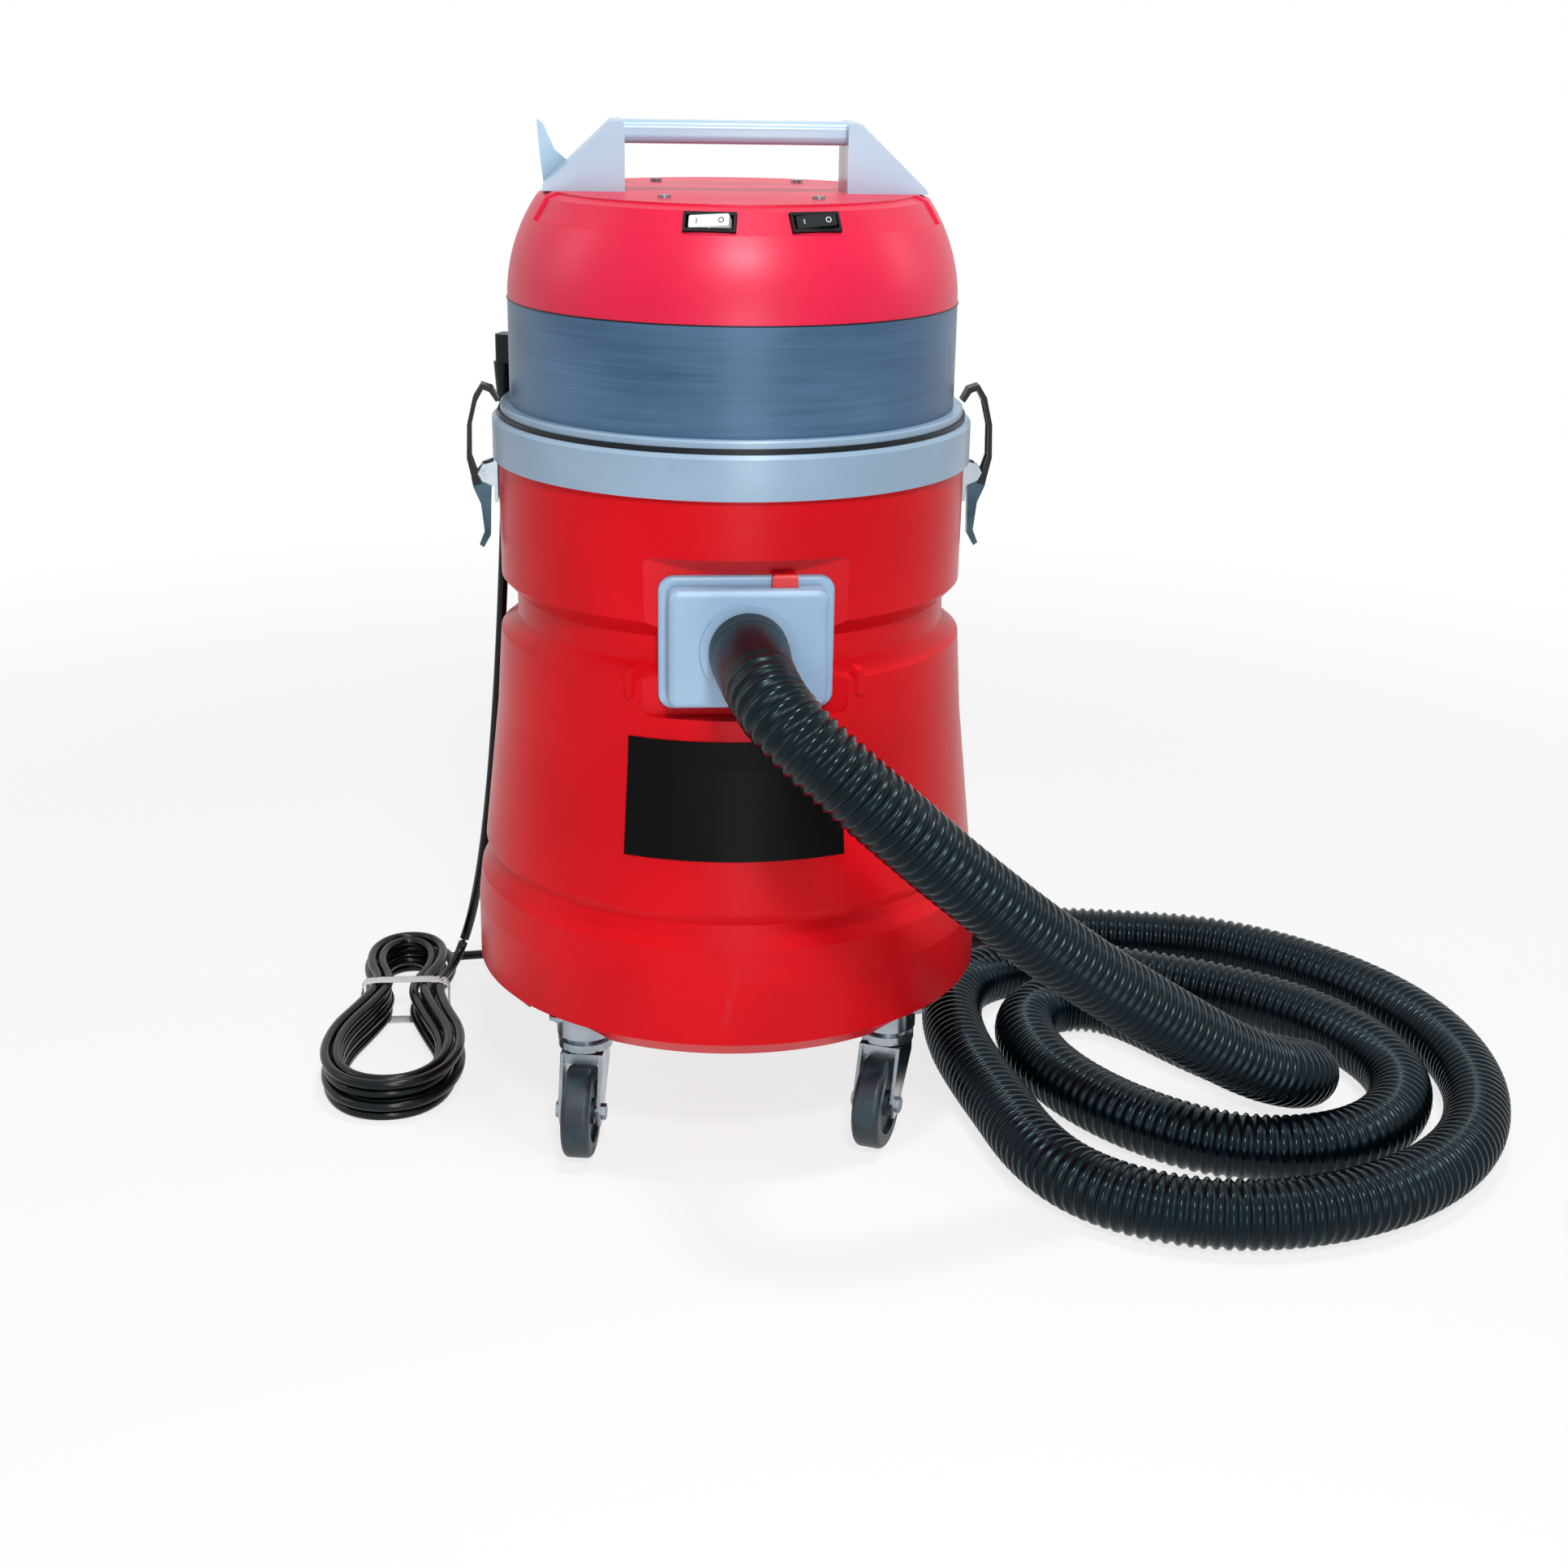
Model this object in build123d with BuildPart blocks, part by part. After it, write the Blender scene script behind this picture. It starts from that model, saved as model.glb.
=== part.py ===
import os
from math import asin, cos, pi, radians, sin, tan

from build123d import *

os.makedirs("parts", exist_ok=True)

# Driving dimensions in millimetres: origin on the floor under the tank's axis, front towards -Y

# Tank drum
wall = 4.0
tank_floor = 116.0
tank_top = 602.0
tank_wall = [
    (208, tank_floor),
    (222, 130),
    (222, 184),
    (219, 212),
    (209.5, 231),
    (214.3, 241),
    (201, 360),
    (196.5, 428),
    (182, 440),
    (182, 462),
    (195, 476),
    (196, tank_top),
]
tank_round = 5.0
pad_width = 164.0
pad_height = 128.0
pad_middle = 464.0
pad_face = 178.0
pad_corner = 10.0

# Rim between tank and head
ring_low = 575.0
ring_high = 610.0
ring_radius = 200.0
rim_bore = 188.0
gasket_high = 614.0
lip_low = 614.2
lip_high = 620.0
lip_radius = 193.0

# Head
band_radius = 185.0
band_high = 704.0
cover_low = 705.2
cover_flat = 790.0
cover_shoulder = (159.0, 786.0)
cover_flat_radius = 150.0
cover_side_radius = 136.7
panel_low = 769.0
panel_depth = 2.2
panel_half_angle = 73.0
handle_high = 844.0
handle_bar_low = 826.0
handle_bar_depth = 30.0
handle_top_half = 99.0
handle_foot_half = 155.0
handle_gap_half = 89.0
handle_leg_depth = 64.0

# Rocker switches on the panel
switch_offsets = {"left": -29.0, "right": 51.0}
switch_size = (40.0, 16.0)
switch_middle = 778.0
rocker_size = (31.0, 10.0)
rocker_tilt = 8.0

# Suction inlet
inlet_high = 460.0
inlet_size = (138.0, 107.0)
inlet_flange = 6.0
inlet_front = (124.0, 94.0)
inlet_depth = 28.0
boss_size = (28.0, 13.0)
boss_angle = 27.5
boss_high = 425.0
collar_bore = 25.3
collar_radius = 30.9
button_size = (20.0, 8.0)
button_offset = 29.0

# Toggle latches, as (distance from the axis, height)
latch_pivot = (207.0, 560.0)
strap_pivot = (213.0, 552.0)
latch_pin_radius = 2.5
strap_pin_radius = 2.0
pin_clearance = 0.05

# Casters
caster_spacing = 260.0
caster_turns = {
    "front_left": (-1, -1, -10.0),
    "front_right": (1, -1, -24.0),
    "rear_left": (-1, 1, -12.0),
    "rear_right": (1, 1, 15.0),
}
wheel_radius = 40.0
wheel_width = 24.0
caster_trail = 25.0
axle_radius = 4.0
fork_gap = 15.0
fork_plate = 3.0
fork_crown = (86.0, 91.0)
swivel_radius = 6.0
pocket_radius = 52.0
pocket_ceiling = 130.0

# Motor and filter inside the head
shaft_radius = 4.0
bearing_radius = 11.0
filter_pleats = 56
exhaust_pleats = 64

# Hose and mains cord
hose_radius = 28.5
hose_valley = 25.4
hose_bore = 23.0
cuff_bore = 19.0
hose_ribs = 196
hose_split = 0.19
hose_turn = 0.25
cuff_radius = 31.0
cuff_end = 232.0
end_cuff_length = 85.0
cord_diameter = 9.0
cord_angle = 158.0
cord_distance = 207.0
gland_low = 606.0

# Hank of cord on the floor, left of the tank
hank_middle = -305.0
hank_layers = 4
hank_turns = 2
hank_step = 10.6
hank_floor = 6.2


def save(piece, name):
    piece.part.label = name
    export_step(piece.part, f"parts/{name}.step")


def meridian(angle):
    """Upright plane through the Z axis, its X along the given compass angle."""
    turn = radians(angle)
    return Plane(origin=(0, 0, 0), x_dir=(cos(turn), sin(turn), 0), z_dir=(sin(turn), -cos(turn), 0))


def turned(points):
    """Solid of revolution about the Z axis from a closed (radius, height) outline."""
    with BuildPart() as piece:
        with BuildSketch(Plane.XZ):
            with BuildLine():
                Polyline(*points, close=True)
            make_face()
        revolve(axis=Axis.Z)
    return piece


def star(outer, inner, teeth):
    """Corner points of a pleated ring's outline."""
    points = []
    for index in range(2 * teeth):
        reach = outer if index % 2 == 0 else inner
        turn = pi * index / teeth
        points.append((reach * cos(turn), reach * sin(turn)))
    return points


def pleated_ring(low, high, outer, inner, bore, teeth):
    """Upright ring of folded filter paper."""
    with BuildPart() as piece:
        with BuildSketch(Plane.XY.offset(low)):
            with BuildLine():
                Polyline(*star(outer, inner, teeth), close=True)
            make_face()
            Circle(bore, mode=Mode.SUBTRACT)
        extrude(amount=high - low)
    return piece


# Tank drum: a flared shell with two grooves, a flat pad for the inlet and a pocket over each caster
with BuildPart() as tank_cavity:
    with BuildSketch(Plane.XZ) as cavity_outline:
        with BuildLine():
            Polyline(
                (0, tank_floor + wall),
                *[(radius - wall, max(height, tank_floor + wall)) for radius, height in tank_wall],
                (tank_wall[-1][0] - wall, tank_top + 10),
                (0, tank_top + 10),
                close=True,
            )
        make_face()
        inner_corners = cavity_outline.vertices().filter_by_position(Axis.X, 150, 230)
        fillet(inner_corners.filter_by_position(Axis.Z, 100, tank_top - 50), radius=tank_round)
    revolve(axis=Axis.Z)
    with BuildSketch(Plane.XZ.offset(pad_face - wall)):
        with Locations((0, pad_middle)):
            RectangleRounded(pad_width + 2 * wall, pad_height + 2 * wall, pad_corner + wall)
    extrude(amount=60, mode=Mode.SUBTRACT)
    with BuildSketch(Plane.XY.offset(tank_floor)):
        with GridLocations(caster_spacing, caster_spacing, 2, 2):
            Circle(pocket_radius + wall)
    extrude(amount=pocket_ceiling + wall - tank_floor, mode=Mode.SUBTRACT)

with BuildPart() as tank_drum:
    with BuildSketch(Plane.XZ) as drum_outline:
        with BuildLine():
            Polyline((0, tank_floor), *tank_wall, (0, tank_top), close=True)
        make_face()
        outer_corners = drum_outline.vertices().filter_by_position(Axis.X, 150, 230)
        fillet(outer_corners.filter_by_position(Axis.Z, 100, tank_top - 50), radius=tank_round)
    revolve(axis=Axis.Z)
    add(tank_cavity.part, mode=Mode.SUBTRACT)
    with BuildSketch(Plane.XZ.offset(pad_face)):
        with Locations((0, pad_middle)):
            RectangleRounded(pad_width, pad_height, pad_corner)
    extrude(amount=60, mode=Mode.SUBTRACT)
    with BuildSketch(Plane.XZ.offset(pad_face - 2 * wall)):
        with Locations((0, inlet_high)):
            Circle(collar_radius + 0.3)
    extrude(amount=20, mode=Mode.SUBTRACT)
    for angle in (-90 - boss_angle, -90 + boss_angle):
        out = meridian(angle).x_dir
        foot = out * (tank_wall[7][0] - wall + 0.5) + Vector(0, 0, boss_high)
        with BuildSketch(Plane(origin=foot, x_dir=(0, 0, 1), z_dir=out)):
            SlotOverall(*boss_size)
        extrude(amount=wall + 3.5, taper=25)
    with BuildSketch(Plane.XY.offset(tank_floor - 10)):
        with GridLocations(caster_spacing, caster_spacing, 2, 2):
            Circle(pocket_radius)
    extrude(amount=pocket_ceiling - tank_floor + 10, mode=Mode.SUBTRACT)
save(tank_drum, "tank_drum")

# Rim: pale ring that caps the drum, with the seal the head rests on
rim_ring = turned(
    [
        (196.3, ring_low),
        (ring_radius, ring_low),
        (ring_radius, ring_high - 3),
        (ring_radius - 3, ring_high),
        (rim_bore, ring_high),
        (rim_bore, tank_top + 1),
        (196.3, tank_top + 1),
    ]
)
save(rim_ring, "rim_ring")

rim_gasket = turned([(188.5, ring_high), (195, ring_high), (195, gasket_high), (188.5, gasket_high)])
save(rim_gasket, "rim_gasket")

# Inlet: hollow square box on the pad, collar through the wall, hood that turns the air down
with BuildPart() as inlet_box:
    with BuildSketch(Plane.XZ.offset(pad_face + 0.05)):
        with Locations((0, inlet_high)):
            RectangleRounded(*inlet_size, 12)
    extrude(amount=inlet_flange)
    fillet(inlet_box.faces().sort_by(Axis.Y)[0].edges(), radius=3)
    with BuildSketch(Plane.XZ.offset(pad_face + 0.05)):
        with Locations((0, inlet_high)):
            RectangleRounded(*inlet_front, 8)
    extrude(amount=inlet_depth)
    fillet(inlet_box.faces().sort_by(Axis.Y)[0].edges(), radius=5)
    with BuildSketch(Plane.XZ.offset(pad_face + 0.05)):
        with Locations((0, inlet_high)):
            RectangleRounded(inlet_front[0] - 10, inlet_front[1] - 10, 6)
    extrude(amount=inlet_depth - 5, mode=Mode.SUBTRACT)
    with BuildSketch(Plane.XZ.offset(pad_face)):
        with Locations((0, inlet_high)):
            Circle(collar_radius + 0.3)
    extrude(amount=inlet_depth + 10, mode=Mode.SUBTRACT)
    with BuildSketch(Plane.XY.offset(inlet_high)):
        with Locations((button_offset, -pad_face - 13)):
            Rectangle(button_size[0] + 1, button_size[1] + 1)
    extrude(amount=80, mode=Mode.SUBTRACT)
save(inlet_box, "inlet_box")

box_front = pad_face + 0.05 + inlet_depth
with BuildPart() as inlet_collar:
    with BuildSketch(Plane.XZ.offset(pad_face - 28)):
        with Locations((0, inlet_high)):
            Circle(collar_radius)
    extrude(amount=box_front - pad_face + 28)
    with BuildSketch(Plane.XZ.offset(box_front + 0.1)):
        with Locations((0, inlet_high)):
            Circle(collar_radius + 7)
    extrude(amount=4)
    with BuildSketch(Plane.XZ.offset(box_front)):
        with Locations((0, inlet_high)):
            Circle(collar_radius)
    extrude(amount=0.2)
    with BuildSketch(Plane.XZ.offset(pad_face - 40)):
        with Locations((0, inlet_high)):
            Circle(collar_bore)
    extrude(amount=90, mode=Mode.SUBTRACT)
save(inlet_collar, "inlet_collar")

hood_back = 128.0
hood_wall = 3.0
hood_width = 72.0
with BuildPart() as inlet_hood:
    with BuildSketch(Plane.XZ.offset(hood_back)):
        with Locations((0, inlet_high - 3)):
            Rectangle(hood_width, 92)
    extrude(amount=pad_face - wall - 0.1 - hood_back)
    with BuildSketch(Plane.XZ.offset(hood_back + hood_wall)):
        with Locations((0, inlet_high - 3 - hood_wall)):
            Rectangle(hood_width - 2 * hood_wall, 92)
    extrude(amount=60, mode=Mode.SUBTRACT)
save(inlet_hood, "inlet_hood")

with BuildPart() as inlet_nuts:
    with BuildSketch(Plane.XZ.offset(pad_face - wall - 5.1)):
        with Locations((0, inlet_high)):
            with GridLocations(120, 96, 2, 2):
                RegularPolygon(6, 6)
    extrude(amount=5)
save(inlet_nuts, "inlet_nuts")

button_high = inlet_high + inlet_front[1] / 2
with BuildPart() as inlet_button:
    with Locations((button_offset, -pad_face - 13, button_high)):
        Box(button_size[0], button_size[1], 20)
    fillet(inlet_button.edges().group_by(Axis.Z)[-1], radius=3)
save(inlet_button, "inlet_button")

# Bare dark panel, a thin sheet on the flared wall
label_gap = 0.3
label_sheet = 0.8
label_angle = 50.0
label_side = [(209.3, 286), (201, 360), (199.5, 383)]
with BuildPart() as label_panel:
    with BuildSketch(meridian(-92.5 - label_angle / 2)):
        with BuildLine():
            Polyline(
                *[(radius + label_gap, height) for radius, height in label_side],
                *[(radius + label_gap + label_sheet, height) for radius, height in reversed(label_side)],
                close=True,
            )
        make_face()
    revolve(axis=Axis.Z, revolution_arc=label_angle)
save(label_panel, "label_panel")

# Toggle latches: base riveted under the rim, lever on its pin, strap on the lever with a hook at the lip
lever_outline = [
    (203, 565),
    (210, 566),
    (218.5, 555),
    (217, 547),
    (211, 533),
    (208.5, 509),
    (213, 498),
    (209.5, 495.5),
    (203.5, 506),
    (202.5, 535),
    (201.5, 552),
]
strap_outline = [
    (210, 550),
    (216.5, 549),
    (221.5, 572),
    (220.5, 600),
    (215, 623),
    (208, 634),
    (199, 631),
    (193.6, 620.5),
    (196.2, 618.8),
    (201.5, 627),
    (206.5, 629),
    (212, 619),
    (217, 599),
    (217.6, 573),
]
ear_outline = [(198.5, 549), (198.5, 570), (209, 566.5), (212.5, 560), (209, 553.5)]
lever_half = 4.0
strap_inner = 4.4
strap_outer = 7.4

for side, sign in (("left", -1), ("right", 1)):
    pivot = (sign * latch_pivot[0], latch_pivot[1])
    strap_joint = (sign * strap_pivot[0], strap_pivot[1])

    with BuildPart() as latch_base:
        with BuildSketch(Plane.XZ):
            with Locations((sign * 197.6, 554)):
                Rectangle(3, 36)
        extrude(amount=13, both=True)
        for ear in (-12, 9):
            with BuildSketch(Plane.XZ.offset(-ear)):
                with BuildLine():
                    Polyline(*[(sign * x, z) for x, z in ear_outline], close=True)
                make_face()
            extrude(amount=-3)
        with BuildSketch(Plane.XZ):
            with Locations(pivot):
                Circle(latch_pin_radius)
        extrude(amount=20, both=True, mode=Mode.SUBTRACT)
    save(latch_base, f"latch_base_{side}")

    with BuildPart() as latch_lever:
        with BuildSketch(Plane.XZ):
            with BuildLine():
                Polyline(*[(sign * x, z) for x, z in lever_outline], close=True)
            make_face()
            with Locations(pivot):
                Circle(latch_pin_radius + pin_clearance, mode=Mode.SUBTRACT)
            with Locations(strap_joint):
                Circle(strap_pin_radius + pin_clearance, mode=Mode.SUBTRACT)
        extrude(amount=lever_half, both=True)
    save(latch_lever, f"latch_lever_{side}")

    with BuildPart() as latch_strap:
        with BuildSketch(Plane.XZ):
            with BuildLine():
                Polyline(*[(sign * x, z) for x, z in strap_outline], close=True)
            make_face()
        extrude(amount=strap_outer, both=True)
        with BuildSketch(Plane.XZ):
            with Locations((sign * 214, 580)):
                Rectangle(30, 80)
        extrude(amount=strap_inner, both=True, mode=Mode.SUBTRACT)
        with BuildSketch(Plane.XZ):
            with Locations(strap_joint):
                Circle(strap_pin_radius)
        extrude(amount=strap_outer, both=True)
    save(latch_strap, f"latch_strap_{side}")

with BuildPart() as latch_pins:
    with BuildSketch(Plane.XZ):
        with Locations((-latch_pivot[0], latch_pivot[1]), latch_pivot):
            Circle(latch_pin_radius)
    extrude(amount=13.5, both=True)
save(latch_pins, "latch_pins")

# Casters: fixed plates with a swivel housing, then a fork, axle and wheel at each corner
plate_low = pocket_ceiling - 3.7
housing_low = fork_crown[1] + 1
housing_rings = [(23, housing_low, 99), (18, 99, 104), (24, 104, plate_low)]
with BuildPart() as caster_plates:
    with BuildSketch(Plane.XY.offset(plate_low)):
        with GridLocations(caster_spacing, caster_spacing, 2, 2):
            RectangleRounded(60, 60, 6)
    extrude(amount=pocket_ceiling - 0.2 - plate_low)
    for radius, low, high in housing_rings:
        with BuildSketch(Plane.XY.offset(low)):
            with GridLocations(caster_spacing, caster_spacing, 2, 2):
                Circle(radius)
        extrude(amount=high - low)
    with BuildSketch(Plane.XY.offset(housing_low)):
        with GridLocations(caster_spacing, caster_spacing, 2, 2):
            Circle(swivel_radius + pin_clearance)
    extrude(amount=plate_low - housing_low, mode=Mode.SUBTRACT)
save(caster_plates, "caster_plates")

with BuildPart() as caster_bolts:
    with BuildSketch(Plane.XY.offset(plate_low - 3)):
        with GridLocations(caster_spacing, caster_spacing, 2, 2):
            with GridLocations(44, 44, 2, 2):
                RegularPolygon(4.5, 6)
    extrude(amount=3)
save(caster_bolts, "caster_bolts")

fork_front = -22.0
fork_back = 18.0
fork_outline = [
    (fork_back, fork_crown[1]),
    (fork_front, fork_crown[1]),
    (-38, 46),
    (-33, 30),
    (-17, 30),
    (-10, 44),
    (fork_back, 74),
]
for name, (side_x, side_y, turn) in caster_turns.items():
    swivel = Vector(side_x * caster_spacing / 2, side_y * caster_spacing / 2, 0)
    axle_way = Vector(cos(radians(turn)), sin(radians(turn)), 0)
    roll_way = Vector(-sin(radians(turn)), cos(radians(turn)), 0)
    hub = swivel - roll_way * caster_trail + Vector(0, 0, wheel_radius)

    with BuildPart() as caster_fork:
        with BuildSketch(Plane(origin=swivel + Vector(0, 0, fork_crown[0]), x_dir=axle_way)):
            with Locations((0, (fork_front + fork_back) / 2)):
                Rectangle(2 * (fork_gap + fork_plate), fork_back - fork_front)
        extrude(amount=fork_crown[1] - fork_crown[0])
        with BuildSketch(Plane(origin=swivel + Vector(0, 0, 82), x_dir=axle_way)):
            with Locations((0, fork_front + 1)):
                Rectangle(2 * fork_gap + fork_plate, 2)
        extrude(amount=fork_crown[0] - 82)
        with BuildSketch(Plane(origin=swivel + Vector(0, 0, fork_crown[1]), x_dir=axle_way)):
            Circle(swivel_radius)
        extrude(amount=plate_low - 1 - fork_crown[1])
        for start in (-fork_gap - fork_plate, fork_gap):
            with BuildSketch(Plane(origin=swivel + axle_way * start, x_dir=roll_way, z_dir=axle_way)):
                with BuildLine():
                    Polyline(*fork_outline, close=True)
                make_face()
            extrude(amount=fork_plate)
        with BuildSketch(Plane(origin=hub - axle_way * 30, x_dir=roll_way, z_dir=axle_way)):
            Circle(axle_radius)
        extrude(amount=60, mode=Mode.SUBTRACT)
    save(caster_fork, f"caster_fork_{name}")

    with BuildPart() as caster_axle:
        with BuildSketch(Plane(origin=hub - axle_way * 20, x_dir=roll_way, z_dir=axle_way)):
            Circle(axle_radius)
        extrude(amount=40)
        for start in (-21.5, fork_gap + fork_plate + 0.1):
            with BuildSketch(Plane(origin=hub + axle_way * start, x_dir=roll_way, z_dir=axle_way)):
                RegularPolygon(7, 6)
            extrude(amount=3.4)
    save(caster_axle, f"caster_axle_{name}")

    with BuildPart() as caster_wheel:
        with BuildSketch(Plane(origin=hub - axle_way * (wheel_width / 2), x_dir=roll_way, z_dir=axle_way)):
            Circle(wheel_radius)
        extrude(amount=wheel_width)
        fillet(caster_wheel.edges().filter_by(GeomType.CIRCLE), radius=5)
        for start in (-wheel_width / 2, wheel_width / 2 - 4):
            with BuildSketch(Plane(origin=hub + axle_way * start, x_dir=roll_way, z_dir=axle_way)):
                Circle(27)
                Circle(11, mode=Mode.SUBTRACT)
            extrude(amount=4, mode=Mode.SUBTRACT)
        with BuildSketch(Plane(origin=hub - axle_way * 20, x_dir=roll_way, z_dir=axle_way)):
            Circle(axle_radius + pin_clearance)
        extrude(amount=40, mode=Mode.SUBTRACT)
    save(caster_wheel, f"caster_wheel_{name}")

# Head plate with its lip and locating spigot, and the slate band around the motor
head_plate = turned(
    [
        (30, lip_low),
        (180, lip_low),
        (180, 600),
        (band_radius, 600),
        (band_radius, lip_low),
        (lip_radius, lip_low),
        (lip_radius, lip_high - 1.5),
        (lip_radius - 1.5, lip_high),
        (30, lip_high),
    ]
)
save(head_plate, "head_plate")

motor_band = turned(
    [
        (band_radius - wall, lip_high),
        (band_radius, lip_high),
        (band_radius, band_high),
        (band_radius - wall, band_high),
    ]
)
save(motor_band, "motor_band")

# Top cover: domed shell with a shallow panel across its front for the switches
side_centre = band_radius - cover_side_radius


def cover_side(height):
    """Radius of the cover's rounded side at a height."""
    return side_centre + (cover_side_radius**2 - (height - cover_low) ** 2) ** 0.5


def switch_plane(offset):
    """Plane on the panel at a sideways offset, X along the panel and Z outwards."""
    reach = cover_side(switch_middle) - panel_depth
    turn = -pi / 2 + asin(offset / reach)
    rise = asin((switch_middle - cover_low) / cover_side_radius)
    return Plane(
        origin=(reach * cos(turn), reach * sin(turn), switch_middle),
        x_dir=(-sin(turn), cos(turn), 0),
        z_dir=(cos(turn) * cos(rise), sin(turn) * cos(rise), sin(rise)),
    )


with BuildPart() as top_cover:
    with BuildSketch(Plane.XZ) as cover_outline:
        with BuildLine():
            side = ThreePointArc((band_radius, cover_low), (cover_side(748), 748), cover_shoulder)
            Polyline(side @ 1, (cover_flat_radius, cover_flat), (0, cover_flat), (0, cover_low), side @ 0)
        make_face()
        shoulders = cover_outline.vertices().filter_by_position(Axis.Z, 780, 800)
        fillet(shoulders.filter_by_position(Axis.X, 140, 170), radius=9)
    revolve(axis=Axis.Z)
    offset(amount=-wall, openings=top_cover.faces().sort_by(Axis.Z)[0])
    with BuildSketch(meridian(-90 - panel_half_angle)):
        with BuildLine():
            Polyline(
                (cover_side(panel_low) - panel_depth, panel_low),
                (cover_side(785.5) - panel_depth, 785.5),
                (cover_flat_radius - 2, cover_flat - 1.4),
                (cover_flat_radius - 2, cover_flat + 5),
                (180, cover_flat + 5),
                (180, panel_low),
                close=True,
            )
        make_face()
    revolve(axis=Axis.Z, revolution_arc=2 * panel_half_angle, mode=Mode.SUBTRACT)
    for shift in switch_offsets.values():
        with BuildSketch(switch_plane(shift).offset(-15)):
            Rectangle(switch_size[0] + 0.6, switch_size[1] + 0.6)
        extrude(amount=30, mode=Mode.SUBTRACT)
save(top_cover, "top_cover")

with BuildPart() as switch_bodies:
    for shift in switch_offsets.values():
        with BuildSketch(switch_plane(shift).offset(-22)):
            Rectangle(*switch_size)
        extrude(amount=23.5)
        with BuildSketch(switch_plane(shift).offset(-13)):
            Rectangle(rocker_size[0] + 5, rocker_size[1] + 1)
        extrude(amount=20, mode=Mode.SUBTRACT)
save(switch_bodies, "switch_bodies")

for side, shift in switch_offsets.items():
    face = switch_plane(shift)
    lean = radians(rocker_tilt)
    long_way = face.x_dir * cos(lean) + face.z_dir * sin(lean)
    out_way = face.z_dir * cos(lean) - face.x_dir * sin(lean)
    with BuildPart() as rocker:
        with BuildSketch(Plane(origin=face.origin - out_way * 6, x_dir=long_way, z_dir=out_way)):
            RectangleRounded(*rocker_size, 1.5)
        extrude(amount=9)
        with BuildSketch(Plane(origin=face.origin, x_dir=long_way, z_dir=face.y_dir)):
            Circle(1.5)
        extrude(amount=rocker_size[1] / 2 + 0.4, both=True)
    save(rocker, f"rocker_{side}")

# Handle: grip bar between two wedge-shaped legs, and a thorn that holds the wound cord
with BuildPart() as handle:
    for sign in (-1, 1):
        with BuildSketch(Plane.XZ.offset(-handle_leg_depth / 2)):
            with BuildLine():
                Polyline(
                    (sign * handle_foot_half, cover_flat),
                    (sign * (handle_foot_half - 2), cover_flat + 4),
                    (sign * handle_top_half, handle_high),
                    (sign * handle_gap_half, handle_high),
                    (sign * handle_gap_half, cover_flat),
                    close=True,
                )
            make_face()
        extrude(amount=handle_leg_depth)
    fillet(handle.edges().filter_by(Axis.Y).group_by(Axis.Z)[-1], radius=4)
    with BuildSketch(Plane.YZ.offset(-handle_gap_half - 5)):
        with Locations((0, (handle_bar_low + handle_high) / 2)):
            RectangleRounded(handle_bar_depth, handle_high - handle_bar_low, 7)
    extrude(amount=2 * handle_gap_half + 10)
save(handle, "handle")

hook_outline = [(-154, 790), (-157, 815), (-159, 842), (-154, 838), (-145, 818), (-133, 808), (-124, 790)]
with BuildPart() as cord_hook:
    with BuildSketch(Plane.XZ.offset(-46)):
        with BuildLine():
            Polyline(*hook_outline, close=True)
        make_face()
    extrude(amount=8)
save(cord_hook, "cord_hook")

cord_turn = radians(cord_angle)
cord_exit = Vector(cord_distance * cos(cord_turn), cord_distance * sin(cord_turn), gland_low)
with BuildPart() as cord_gland:
    with BuildSketch(Plane(origin=(0, 0, 640), x_dir=(cos(cord_turn), sin(cord_turn), 0))):
        with Locations((band_radius + 13.4, 0)):
            RectangleRounded(25.6, 20, 4)
    extrude(amount=24)
    with BuildSketch(Plane(origin=cord_exit)):
        Circle(cord_diameter / 2 + 1.5)
    with BuildSketch(Plane(origin=cord_exit + Vector(0, 0, 640 - gland_low))):
        Circle(8.5)
    loft()
save(cord_gland, "cord_gland")

with BuildPart() as cover_screws:
    with BuildSketch(Plane.XY.offset(cover_flat)):
        with GridLocations(120, 180, 2, 2):
            Circle(5)
    extrude(amount=2.5)
save(cover_screws, "cover_screws")

# Motor, fan and exhaust filter inside the head
fan_housing = turned(
    [
        (26, lip_high + 0.2),
        (72, lip_high + 0.2),
        (72, 671),
        (14, 671),
        (14, 668),
        (69, 668),
        (69, 623),
        (26, 623),
    ]
)
save(fan_housing, "fan_housing")

motor_can = turned(
    [
        (bearing_radius, 671.2),
        (50, 671.2),
        (50, 760),
        (bearing_radius, 760),
        (bearing_radius, 752),
        (46, 752),
        (46, 679),
        (bearing_radius, 679),
    ]
)
save(motor_can, "motor_can")

with BuildPart() as motor_bearings:
    for low in (671.6, 752.5):
        with BuildSketch(Plane.XY.offset(low)):
            Circle(bearing_radius)
            Circle(shaft_radius + pin_clearance, mode=Mode.SUBTRACT)
        extrude(amount=7)
save(motor_bearings, "motor_bearings")

with BuildPart() as motor_shaft:
    with BuildSketch(Plane.XY.offset(625)):
        Circle(shaft_radius)
    extrude(amount=157)
save(motor_shaft, "motor_shaft")

with BuildPart() as armature:
    with BuildSketch(Plane.XY.offset(690)):
        Circle(40)
        Circle(shaft_radius, mode=Mode.SUBTRACT)
        with PolarLocations(39, 18):
            Rectangle(6, 3, mode=Mode.SUBTRACT)
    extrude(amount=52)
save(armature, "armature")

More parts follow.
